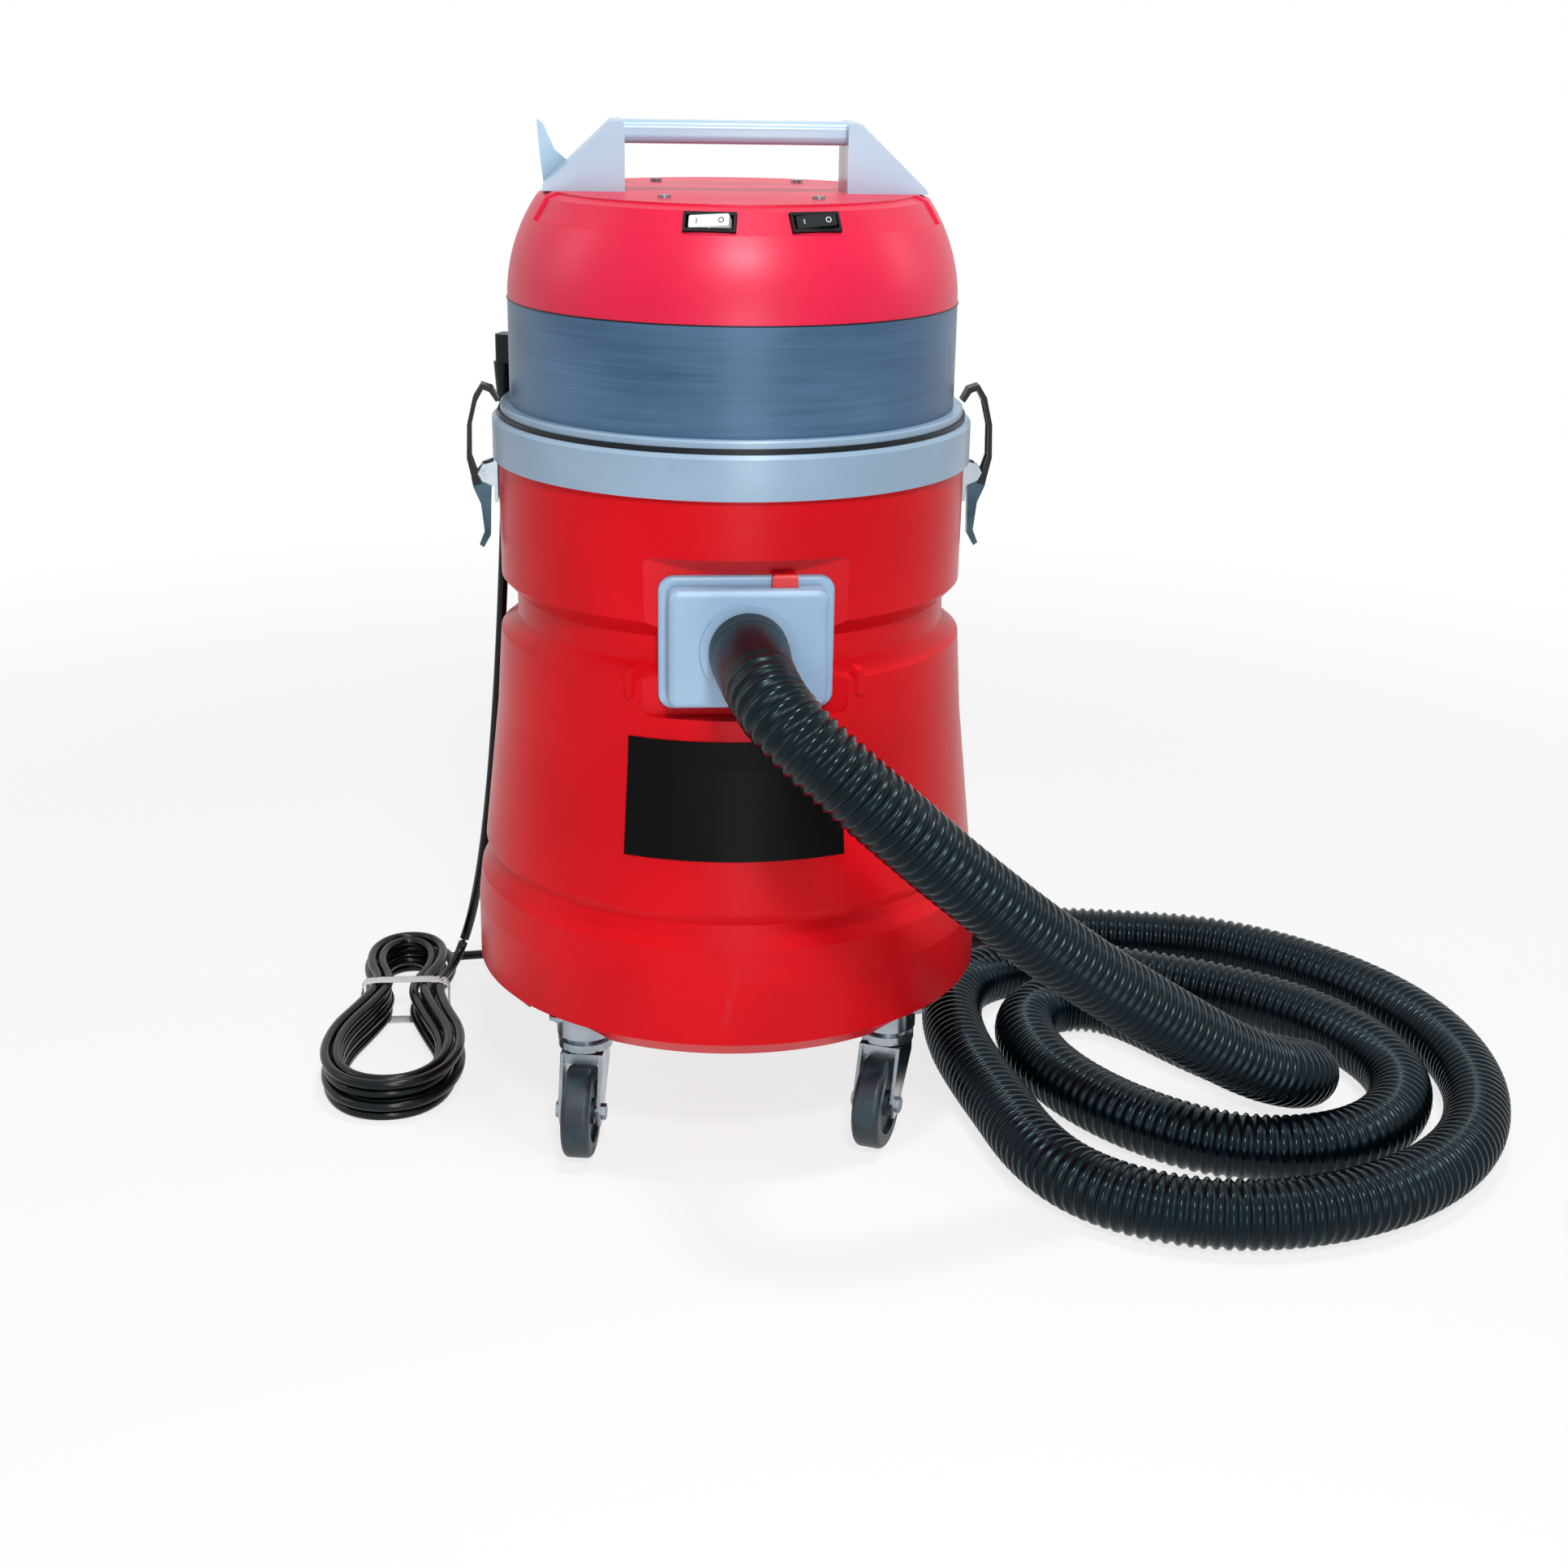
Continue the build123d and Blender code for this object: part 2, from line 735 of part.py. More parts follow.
with BuildPart() as impeller:
    with BuildSketch(Plane.XY.offset(655)):
        Circle(62)
        Circle(shaft_radius, mode=Mode.SUBTRACT)
    extrude(amount=4)
    with BuildSketch(Plane.XY.offset(628)):
        Circle(12)
        Circle(shaft_radius, mode=Mode.SUBTRACT)
        with PolarLocations(44, 9):
            Rectangle(36, 2.4, rotation=28)
    extrude(amount=28)
save(impeller, "impeller")

with BuildPart() as cooling_fan:
    with BuildSketch(Plane.XY.offset(764)):
        Circle(42)
        Circle(shaft_radius, mode=Mode.SUBTRACT)
    extrude(amount=2)
    with BuildSketch(Plane.XY.offset(765)):
        Circle(12)
        Circle(shaft_radius, mode=Mode.SUBTRACT)
        with PolarLocations(27, 9):
            Rectangle(28, 2)
    extrude(amount=11)
save(cooling_fan, "cooling_fan")

exhaust_filter = pleated_ring(624, 698, 176, 152, 140, exhaust_pleats)
save(exhaust_filter, "exhaust_filter")

# Suction filter hanging under the head plate
with BuildPart() as filter_cage:
    with BuildSketch(Plane.XY.offset(447)):
        Circle(69)
        Circle(66, mode=Mode.SUBTRACT)
    extrude(amount=lip_low - 0.1 - 447)
    with BuildSketch(Plane.XY.offset(444)):
        Circle(69)
        Circle(5.2, mode=Mode.SUBTRACT)
    extrude(amount=3)
    with BuildSketch(Plane.XY.offset(456)):
        with PolarLocations(67, 10):
            Rectangle(12, 26)
    extrude(amount=140, mode=Mode.SUBTRACT)
save(filter_cage, "filter_cage")

filter_element = pleated_ring(444.2, 608, 102, 84, 71, filter_pleats)
save(filter_element, "filter_element")

filter_cap = turned([(5.2, 437), (106, 437), (106, 450), (103.5, 450), (103.5, 443.8), (5.2, 443.8)])
save(filter_cap, "filter_cap")

with BuildPart() as filter_knob:
    with BuildSketch(Plane.XY.offset(422)):
        Circle(16)
        with PolarLocations(17, 5):
            Circle(4, mode=Mode.SUBTRACT)
    extrude(amount=14.8)
    with BuildSketch(Plane.XY.offset(430)):
        Circle(5)
    extrude(amount=30)
save(filter_knob, "filter_knob")


def bend_radii(points):
    """Largest arc at each corner of a route: 0.45 of the shorter run over the half turn's tangent."""
    radii = []
    for before, corner, after in zip(points, points[1:], points[2:]):
        run_in = Vector(*corner) - Vector(*before)
        run_out = Vector(*after) - Vector(*corner)
        half_turn = radians(run_in.get_angle(run_out)) / 2
        radii.append(0.45 * min(run_in.length, run_out.length) / tan(half_turn))
    return radii


def self_gap(path, samples, apart, diameter):
    """Least gap of a wound tube to itself, from points that are far apart along it."""
    points = [path.position_at(index / samples) for index in range(samples + 1)]
    skip = int(apart / path.length * samples)
    gaps = []
    for index, point in enumerate(points):
        gaps.extend((point - other).length for other in points[index + skip :])
    return min(gaps) - diameter


def round_tube(route, radius):
    """Plain cord along a route of runs joined by tangent arcs."""
    with BuildPart() as piece:
        with BuildLine() as path:
            FilletPolyline(*route, radius=bend_radii(route))
        with BuildSketch(Plane(origin=path.wire() @ 0, z_dir=path.wire() % 0)):
            Circle(radius)
        sweep()
    return piece, path.wire()


# Hose: down from the inlet, a turn back under itself on the floor, then two loops that open outwards
floor_line = hose_radius + 0.4
hose_fall = [
    (0, -cuff_end, inlet_high),
    (0, -cuff_end - 55, inlet_high),
    (20, -334, 436),
    (82, -348, 383),
    (160, -325, 308),
    (256, -286, 223),
    (350, -245, 151),
    (424, -218, 99),
    (472, -196, 75),
    (503, -156, 57),
    (497, -108, 38),
]
hose_return = [(462, -70), (428, -24), (400, 22), (370, 58), (316, 64), (281, 20), (278, -44)]
inner_loop = [
    (297, -110),
    (336, -172),
    (390, -222),
    (454, -242),
    (522, -228),
    (576, -182),
    (601, -116),
    (590, -42),
    (552, 24),
    (490, 78),
    (420, 114),
    (350, 142),
]
outer_loop = [
    (290, 146),
    (240, 112),
    (217, 50),
    (213, -20),
    (220, -86),
    (231, -152),
    (241, -216),
    (264, -276),
    (312, -322),
    (384, -345),
    (464, -339),
    (546, -306),
    (614, -246),
    (656, -166),
    (671, -80),
    (661, 8),
    (625, 86),
    (573, 150),
    (508, 195),
    (434, 214),
    (352, 227),
]
hose_route = hose_fall + [(x, y, floor_line) for x, y in hose_return + inner_loop + outer_loop]

with BuildLine() as hose_path:
    FilletPolyline(*hose_route, radius=bend_radii(hose_route))
hose_line = hose_path.wire()
print("hose length", round(hose_line.length), "radii", [round(radius) for radius in bend_radii(hose_route)])
print("hose least gap", round(self_gap(hose_line, 600, 160, 2 * hose_radius), 2))

rib_profile = ((0.0, hose_valley), (0.2, hose_radius), (0.6, hose_radius), (0.8, hose_valley))


def hose_section(share, radius, steady):
    """Circle across the hose at a share of its length, its X axis near one steady direction."""
    ahead = hose_line.position_at(min(share + 0.0001, 1))
    way = (ahead - hose_line.position_at(max(share - 0.0001, 0))).normalized()
    across = steady - way * steady.dot(way)
    with BuildSketch(Plane(origin=hose_line.position_at(share), x_dir=across, z_dir=way)) as section:
        Circle(radius)
    return section.sketch


def ribbed_hose(first, last, steady):
    """Length of hose between two ribs: a ruled skin through four circles a rib, with its bore."""
    skin = [
        hose_section((rib + place) / hose_ribs, radius, steady)
        for rib in range(first, last)
        for place, radius in rib_profile
    ]
    skin.append(hose_section(last / hose_ribs, hose_valley, steady))
    bore = [hose_section(rib / hose_ribs, hose_bore, steady) for rib in range(first, last + 1)]
    with BuildPart() as piece:
        loft(skin, ruled=True)
        loft(bore, ruled=True, mode=Mode.SUBTRACT)
    return piece


split_rib = round(hose_split * hose_ribs)
turn_rib = round(hose_turn * hose_ribs)
hose_drop = ribbed_hose(0, split_rib, Vector(-0.6, 0.3, -0.74))
save(hose_drop, "hose_drop")
with BuildPart() as hose_coil:
    add(ribbed_hose(split_rib, turn_rib, Vector(0.06, 0.37, 0.93)).part)
    add(ribbed_hose(turn_rib, hose_ribs, Vector(0, 0, 1)).part)
save(hose_coil, "hose_coil")

with BuildPart() as hose_inlet_cuff:
    with BuildSketch(Plane.XZ.offset(pad_face - 23)):
        with Locations((0, inlet_high)):
            Circle(collar_bore - 0.2)
    extrude(amount=box_front + 4.3 - pad_face + 23)
    with BuildSketch(Plane.XZ.offset(box_front + 4.3)):
        with Locations((0, inlet_high)):
            Circle(cuff_radius)
    extrude(amount=cuff_end - box_front - 4.3)
    with BuildSketch(Plane.XZ.offset(pad_face - 30)):
        with Locations((0, inlet_high)):
            Circle(cuff_bore)
    extrude(amount=120, mode=Mode.SUBTRACT)
save(hose_inlet_cuff, "hose_inlet_cuff")

hose_tip = hose_line @ 1
hose_way = hose_line % 1
with BuildPart() as hose_end_cuff:
    with BuildSketch(Plane(origin=hose_tip, z_dir=hose_way)):
        Circle(hose_radius)
        Circle(cuff_bore, mode=Mode.SUBTRACT)
    extrude(amount=end_cuff_length)
save(hose_end_cuff, "hose_end_cuff")
print("hose tip", hose_tip, "way", hose_way)

# Mains cord: down from the gland, then a tied hank on the floor that ends in the plug
hank_high = hank_floor + (hank_layers - 1) * hank_step
hank_outer_loop = [
    (27, 120),
    (44, 66),
    (64, 8),
    (60, -52),
    (34, -90),
    (-6, -100),
    (-44, -82),
    (-65, -36),
    (-62, 24),
    (-42, 76),
    (-26, 126),
    (-42, 172),
    (-40, 214),
    (-18, 243),
    (20, 244),
    (43, 216),
    (45, 170),
]
hank_inner_loop = [
    (6.5, 120),
    (22, 66),
    (43, 6),
    (40, -42),
    (24, -71),
    (-5, -79),
    (-31, -66),
    (-44, -31),
    (-41, 21),
    (-21, 73),
    (-5.5, 124),
    (-21, 170),
    (-20, 203),
    (-8, 221),
    (9, 222),
    (22, 204),
    (23.5, 168),
]
loop_points = len(hank_outer_loop)


def hank_point(step):
    """Point of the hank: spirals in and out between the two loops, a layer lower at each reversal."""
    turns = step / loop_points
    fold = abs((turns / hank_turns + 1) % 2 - 1)
    outer = hank_outer_loop[step % loop_points]
    inner = hank_inner_loop[step % loop_points]
    across = outer[0] + (inner[0] - outer[0]) * fold
    along = outer[1] + (inner[1] - outer[1]) * fold
    reversal = min(max(round(turns / hank_turns), 1), hank_layers - 1)
    climb = min(max((turns - reversal * hank_turns) / 0.5 + 0.5, 0), 1)
    return (hank_middle + across, along, hank_high - hank_step * (reversal - 1 + climb))


hank_steps = hank_layers * hank_turns * loop_points - 3
wound = [hank_point(step) for step in range(1, hank_steps)]
hank_entry = (hank_middle + 33, 118, hank_high)
approach = (-257, 152, hank_high + 4)
meeting = tuple((Vector(*approach) + Vector(*hank_entry)) / 2)
drop_route = [
    tuple(cord_exit),
    tuple(cord_exit - Vector(0, 0, 56)),
    (-197, 82, 450),
    (-204, 89, 350),
    (-213, 100, 255),
    (-224, 122, 170),
    (-236, 148, 106),
    (-246, 168, 66),
    approach,
    meeting,
]
tail_route = [(-285, 250, hank_floor + 0.5), (-250, 250, 9), (-222, 244, 13)]
hank_route = [meeting, hank_entry] + wound + tail_route

cord_drop, drop_line = round_tube(drop_route, cord_diameter / 2)
save(cord_drop, "cord_drop")
cord_hank, hank_line = round_tube(hank_route, cord_diameter / 2)
save(cord_hank, "cord_hank")
print("drop length", round(drop_line.length), "radii", [round(radius) for radius in bend_radii(drop_route)])
print("hank length", round(hank_line.length), "radii", [round(radius) for radius in bend_radii(hank_route)])
print("hank least gap", round(self_gap(hank_line, 1500, 60, cord_diameter), 2))
cord_section = pi * (cord_diameter / 2) ** 2
print("cord volume shares", cord_drop.part.volume / cord_section / drop_line.length)
print("cord volume shares", cord_hank.part.volume / cord_section / hank_line.length)

tie_low = 0.4
tie_width = 84.0
tie_high = hank_high + cord_diameter / 2 + 2
with BuildPart() as cord_tie:
    with BuildSketch(Plane.XZ.offset(-110)):
        with Locations((hank_middle + 3, (tie_low + tie_high) / 2)):
            RectangleRounded(tie_width, tie_high - tie_low, 5)
            RectangleRounded(tie_width - 2, tie_high - tie_low - 2, 4, mode=Mode.SUBTRACT)
    extrude(amount=-13)
save(cord_tie, "cord_tie")

plug_start = hank_line @ 1
plug_way = hank_line % 1
with BuildPart() as cord_plug:
    with BuildSketch(Plane(origin=plug_start, z_dir=plug_way)):
        Circle(6)
    with BuildSketch(Plane(origin=plug_start + plug_way * 16, z_dir=plug_way)):
        Circle(10)
    loft()
    with BuildSketch(Plane(origin=plug_start + plug_way * 16, x_dir=(0, 0, 1), z_dir=plug_way)):
        RectangleRounded(23, 28, 8)
    extrude(amount=32)
    with BuildSketch(Plane(origin=plug_start + plug_way * 48, x_dir=(0, 0, 1), z_dir=plug_way)):
        with Locations((3, -6.35), (3, 6.35)):
            Rectangle(6.5, 1.5)
        with Locations((-6, 0)):
            Circle(2.4)
    extrude(amount=17)
save(cord_plug, "cord_plug")
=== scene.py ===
from math import cos, pi, radians, sin

import bpy
import numpy as np
from mathutils import Matrix, Vector


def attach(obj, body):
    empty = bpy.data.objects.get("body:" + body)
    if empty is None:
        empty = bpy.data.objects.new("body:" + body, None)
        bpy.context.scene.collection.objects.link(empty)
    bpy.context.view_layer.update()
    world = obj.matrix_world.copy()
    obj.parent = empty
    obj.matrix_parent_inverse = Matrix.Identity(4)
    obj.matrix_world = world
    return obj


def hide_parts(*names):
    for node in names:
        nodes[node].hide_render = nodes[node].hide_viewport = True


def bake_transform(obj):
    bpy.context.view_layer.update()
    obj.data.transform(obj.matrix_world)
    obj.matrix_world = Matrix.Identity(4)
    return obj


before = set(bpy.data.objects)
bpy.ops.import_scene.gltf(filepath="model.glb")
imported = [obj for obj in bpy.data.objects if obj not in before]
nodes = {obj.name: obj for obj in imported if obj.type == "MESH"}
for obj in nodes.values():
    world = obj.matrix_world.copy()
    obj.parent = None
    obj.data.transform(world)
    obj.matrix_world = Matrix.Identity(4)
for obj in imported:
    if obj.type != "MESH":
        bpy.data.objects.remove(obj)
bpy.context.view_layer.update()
scene = bpy.context.scene
scene.view_settings.view_transform = "Standard"
white = (1.0, 1.0, 1.0, 1.0)
print("frame loaded:", len(nodes), "nodes")


class Paint:  # one shader socket; arithmetic on it adds Math nodes
    def __init__(self, tree, socket=None):
        self.tree = tree
        self.socket = socket

    def node(self, kind, settings, values, out=0):  # any node: settings first, then sockets
        made = self.tree.nodes.new(kind)
        for key, value in settings.items():
            setattr(made, key, value)
        for key, value in values.items():
            if isinstance(value, Paint):
                self.tree.links.new(value.socket, made.inputs[key])
            else:
                made.inputs[key].default_value = value
        return Paint(self.tree, made.outputs[out])

    def math(self, operation, first, second=0.0):
        return self.node("ShaderNodeMath", {"operation": operation}, {0: first, 1: second})

    def __add__(self, other):
        return self.math("ADD", self, other)

    def __radd__(self, other):
        return self.math("ADD", other, self)

    def __sub__(self, other):
        return self.math("SUBTRACT", self, other)

    def __rsub__(self, other):
        return self.math("SUBTRACT", other, self)

    def __mul__(self, other):
        return self.math("MULTIPLY", self, other)

    def step(self, low, high):  # smooth ramp from 0 at low to 1 at high
        settings = {"interpolation_type": "SMOOTHSTEP"}
        values = {"Value": self, "From Min": low, "From Max": high}
        return self.node("ShaderNodeMapRange", settings, values)

    def tint(self, first, second):  # colour between two colours by this value
        settings = {"data_type": "RGBA"}
        return self.node("ShaderNodeMix", settings, {"Factor": self, 6: first, 7: second}, 2)


def linear(red, green, blue):  # screen colour 0-255 to scene colour
    shares = np.array([red, green, blue]) / 255
    bent = ((shares + 0.055) / 1.055) ** 2.4
    return (*np.where(shares <= 0.04045, shares / 12.92, bent), 1.0)


def newSurface(name):  # empty material with a Principled shader and object coordinates
    material = bpy.data.materials.new(name)
    material.use_nodes = True
    tree = material.node_tree
    shader = tree.nodes["Principled BSDF"]
    place = Paint(tree).node("ShaderNodeTexCoord", {}, {}, "Object")
    return material, tree, shader, place


def noise(place, scale, detail, stretch=(1, 1, 1)):
    moved = place.node("ShaderNodeMapping", {}, {"Vector": place, "Scale": stretch})
    values = {"Vector": moved, "Scale": scale, "Detail": detail}
    return place.node("ShaderNodeTexNoise", {}, values)


def height(place):
    return place.node("ShaderNodeSeparateXYZ", {}, {"Vector": place}, "Z")


def bump(place, value, strength, distance):
    values = {"Strength": strength, "Distance": distance, "Height": value}
    return place.node("ShaderNodeBump", {}, values, "Normal")


def feed(tree, shader, **links):  # "_" in a name stands for the space in the input's name
    for key, value in links.items():
        tree.links.new(value.socket, shader.inputs[key.replace("_", " ")])


def shine(shader, gloss, sheen=white):  # strength and colour of the plain reflection
    shader.inputs["Specular IOR Level"].default_value = gloss
    shader.inputs["Specular Tint"].default_value = sheen


# camera and light
view = {
    "distance": 1.84,
    "height": 0.922,
    "azimuth": -4.0,
    "aside": 1.53,
    "pitch": 19.25,
    "roll": 1.0,
    "focal": 2700,
    "frame": 1932,
    "sensor": 36.0,
    "reach": 60,
}


def makeCamera():  # stands on a circle round the drum, turned a little past it
    turn = radians(view["azimuth"])
    data = bpy.data.cameras.new("camera")
    data.sensor_width = view["sensor"]
    data.lens = view["focal"] / view["frame"] * view["sensor"]
    data.clip_end = view["reach"]
    camera = bpy.data.objects.new("camera", data)
    scene.collection.objects.link(camera)
    heading = Matrix.Rotation(turn - radians(view["aside"]), 4, "Z")
    tilt = Matrix.Rotation(radians(90 - view["pitch"]), 4, "X")
    roll = Matrix.Rotation(radians(view["roll"]), 4, "Z")
    spot = Vector((sin(turn), -cos(turn), 0)) * view["distance"] + Vector((0, 0, view["height"]))
    camera.matrix_world = Matrix.Translation(spot) @ heading @ tilt @ roll
    scene.camera = camera


lamps = {
    "front": {"place": (0.05, -2.0, 2.1), "aim": (0.05, 0, 0.5), "size": (0.42, 0.3), "power": 34},
    "low": {"place": (0.1, -2.3, 0.5), "aim": (0.05, 0, 0.5), "size": (0.5, 0.8), "power": 12},
    "left": {"place": (-2.2, 0.2, 1.6), "aim": (0, 0, 0.4), "size": (0.3, 1.2), "power": 6},
    "right": {"place": (2.4, 0.2, 1.6), "aim": (0.1, 0, 0.3), "size": (0.3, 1.2), "power": 6},
    "top": {"place": (0.2, -0.3, 2.9), "aim": (0.2, -0.15, 0), "size": (0.4, 0.3), "power": 28},
}
ambient = 0.2


def seenRays(start):  # 1 for rays that show the surroundings: straight, mirrored or through glass
    straight = start.node("ShaderNodeLightPath", {}, {}, "Is Camera Ray")
    mirrored = start.node("ShaderNodeLightPath", {}, {}, "Is Glossy Ray")
    through = start.node("ShaderNodeLightPath", {}, {}, "Is Transmission Ray")
    return start.math("MAXIMUM", start.math("MAXIMUM", straight, mirrored), through)


def makeLight():
    for name, lamp in lamps.items():
        data = bpy.data.lights.new(name, "AREA")
        data.shape = "RECTANGLE"
        data.size, data.size_y = lamp["size"]
        data.energy = lamp["power"]
        holder = bpy.data.objects.new(name, data)
        holder.location = lamp["place"]
        way = Vector(lamp["aim"]) - Vector(lamp["place"])
        holder.rotation_euler = way.to_track_quat("-Z", "Y").to_euler()
        scene.collection.objects.link(holder)
    world = bpy.data.worlds.new("studio")
    world.use_nodes = True
    scene.world = world
    tree = world.node_tree
    back = tree.nodes["Background"]
    back.inputs["Color"].default_value = white
    strength = seenRays(Paint(tree)) * (1 - ambient) + ambient
    tree.links.new(strength.socket, back.inputs["Strength"])


floor = {"half": 9.0, "shade": 0.88, "rough": 0.85, "gloss": 0.2, "near": 0.9, "far": 2.4, "glow": 0.78}


def makeFloor():  # pale floor that turns plain white away from the object
    mesh = bpy.data.meshes.new("floor")
    reach = floor["half"]
    corners = [(-reach, -reach, 0), (reach, -reach, 0), (reach, reach, 0), (-reach, reach, 0)]
    mesh.from_pydata(corners, [], [(0, 1, 2, 3)])
    ground = bpy.data.objects.new("floor", mesh)
    scene.collection.objects.link(ground)
    material, tree, shader, place = newSurface("paleFloor")
    shader.inputs["Base Color"].default_value = (floor["shade"],) * 3 + (1,)
    shader.inputs["Roughness"].default_value = floor["rough"]
    shine(shader, floor["gloss"])
    away = place.node("ShaderNodeVectorMath", {"operation": "LENGTH"}, {0: place}, "Value")
    bright = place.node("ShaderNodeEmission", {}, {"Color": white, "Strength": 1.0})
    fade = away.step(floor["near"], floor["far"]) * (1 - floor["glow"]) + floor["glow"]
    layers = {0: fade * seenRays(place), 1: Paint(tree, shader.outputs[0]), 2: bright}
    mixed = place.node("ShaderNodeMixShader", {}, layers)
    tree.links.new(mixed.socket, tree.nodes["Material Output"].inputs["Surface"])
    mesh.materials.append(material)


makeCamera()
makeLight()
makeFloor()
print("camera, light and floor ready")


# finishes: each is a mix of slow clouds, fine grain and wear; the hose's finish also paints highlight
# and shade on its ribs
def moulded(name, shade, deep, rough, gloss=0.4, grain=900, relief=0.06, sheen=white):
    material, tree, shader, place = newSurface(name)  # plain moulded plastic or rubber
    cloud = noise(place, 9, 4).step(0.3, 0.7)
    pebble = noise(place, grain, 2)
    mottle = cloud * 0.7 + pebble * 0.3
    feed(tree, shader, Base_Color=mottle.tint(linear(*shade), linear(*deep)))
    feed(tree, shader, Roughness=rough + (cloud - 0.5) * 0.08 + (pebble - 0.5) * 0.1)
    feed(tree, shader, Normal=bump(place, pebble, relief, 0.0006))
    shine(shader, gloss, sheen)
    return material


def plated(name, shade, deep, rough):  # bright metal with fine drawn lines
    material, tree, shader, place = newSurface(name)
    line = noise(place, 260, 3, (1, 1, 0.05))
    cloud = noise(place, 30, 4).step(0.35, 0.75)
    feed(tree, shader, Base_Color=cloud.tint(linear(*shade), linear(*deep)))
    feed(tree, shader, Roughness=rough + line * 0.12 + cloud * 0.06)
    feed(tree, shader, Normal=bump(place, line, 0.04, 0.0004))
    shader.inputs["Metallic"].default_value = 1.0
    return material


dust = {"shade": (150, 96, 96), "full": 0.12, "gone": 0.26}


def redShell(name, shade, deep, rough, gloss, sheen, scuffs):  # satin shell, scuffed low down
    material, tree, shader, place = newSurface(name)
    cloud = noise(place, 6, 4).step(0.3, 0.7)
    peel = noise(place, 420, 2)
    low = 1 - height(place).step(dust["full"], dust["gone"])
    rub = noise(place, 60, 6, (1, 1, 0.25)).step(0.62, 0.8) * low * scuffs
    clean = (cloud * 0.8 + peel * 0.2).tint(linear(*shade), linear(*deep))
    feed(tree, shader, Base_Color=rub.tint(clean, linear(*dust["shade"])))
    feed(tree, shader, Roughness=rough + cloud * 0.06 + rub * 0.3)
    feed(tree, shader, Normal=bump(place, peel, 0.04, 0.0005))
    shine(shader, gloss, sheen)
    return material


def brushedBand(name, shade, deep, rough, gloss, sheen):  # slate band with faint level lines
    material, tree, shader, place = newSurface(name)
    line = noise(place, 26, 5, (0.35, 0.35, 14))
    cloud = noise(place, 5, 3, (1, 1, 2.5)).step(0.3, 0.7)
    mottle = line * 0.55 + cloud * 0.45
    feed(tree, shader, Base_Color=mottle.tint(linear(*deep), linear(*shade)))
    feed(tree, shader, Roughness=rough + line * 0.14)
    feed(tree, shader, Normal=bump(place, line, 0.08, 0.0006))
    shine(shader, gloss, sheen)
    return material


def corrugated(name, shade, deep, rough, gloss, sheen):  # painted highlight lighter on the rib crests, painted shade darker in the grooves, with grime mixed in
    material, tree, shader, place = newSurface(name)
    rib = place.node("ShaderNodeAttribute", {"attribute_name": "rib"}, {}, "Fac")
    grime = noise(place, 35, 5).step(0.35, 0.75)
    pebble = noise(place, 700, 2)
    # the rib mark paints the crests lighter (painted highlight) and the grooves darker (painted shade);
    # grime is dirt
    mottle = rib.step(0.2, 1.0) * 0.6 + grime * 0.4
    feed(tree, shader, Base_Color=mottle.tint(linear(*deep), linear(*shade)))
    feed(tree, shader, Roughness=rough - rib * 0.18 + grime * 0.05)
    feed(tree, shader, Normal=bump(place, pebble, 0.04, 0.0004))
    shine(shader, gloss, sheen)
    return material


def wornTyre(name, shade, deep, rough):  # rubber with pale grime
    material, tree, shader, place = newSurface(name)
    grime = noise(place, 40, 6).step(0.4, 0.7)
    pebble = noise(place, 600, 2)
    feed(tree, shader, Base_Color=grime.tint(linear(*deep), linear(*shade)))
    feed(tree, shader, Roughness=rough + grime * 0.2)
    feed(tree, shader, Normal=bump(place, pebble + grime * 0.5, 0.08, 0.0005))
    return material


looks = {
    "redTank": (redShell, (218, 15, 26), (196, 9, 20), 0.28, 0.16, (1.0, 0.6, 0.7, 1.0), 0.2),
    "redCover": (redShell, (220, 13, 66), (200, 7, 52), 0.36, 0.5, (1.0, 0.8, 0.88, 1.0), 0.0),
    "slateBand": (brushedBand, (88, 118, 150), (30, 58, 84), 0.34, 0.6, (0.5, 0.72, 1.0, 1.0)),
    # hoseBlack: the lighter tone is the painted highlight on the rib crests, the darker one the painted
    # shade in the grooves
    "hoseBlack": (corrugated, (3, 15, 22), (1, 3, 5), 0.34, 0.23, (0.6, 0.88, 1.0, 1.0)),
    "tyreSlate": (wornTyre, (36, 56, 66), (12, 30, 40), 0.42),
    "paleBox": (moulded, (152, 182, 210), (138, 168, 196), 0.34),
    "paleHandle": (moulded, (170, 198, 218), (156, 186, 208), 0.26),
    "whitePlastic": (moulded, (228, 232, 236), (212, 216, 222), 0.35),
    "redButton": (moulded, (220, 24, 28), (196, 16, 20), 0.35),
    "chrome": (plated, (168, 176, 184), (134, 144, 152), 0.14),
    "darkChrome": (plated, (66, 84, 96), (30, 46, 56), 0.16),
    "zinc": (plated, (150, 156, 162), (120, 126, 132), 0.28),
    "castMetal": (plated, (170, 172, 174), (140, 142, 146), 0.4),
    "darkIron": (plated, (96, 92, 90), (70, 66, 64), 0.45),
    "blackPlastic": (moulded, (10, 18, 22), (5, 10, 13), 0.36, 0.24),
    "blackRubber": (moulded, (9, 18, 22), (4, 10, 13), 0.38, 0.24, 900, 0.1),
    "cordRubber": (moulded, (5, 14, 18), (2, 7, 10), 0.24, 0.24),
    "labelBlack": (moulded, (3, 3, 4), (8, 7, 8), 0.42, 0.08, 500),
    "paper": (moulded, (232, 234, 236), (206, 212, 218), 0.8, 0.2, 300, 0.2),
    "paleRing": (moulded, (150, 174, 196), (128, 152, 174), 0.34, 0.6, 900, 0.06, (0.8, 0.9, 1.0, 1.0)),
}
finishes = {name: maker(name, *values) for name, (maker, *values) in looks.items()}

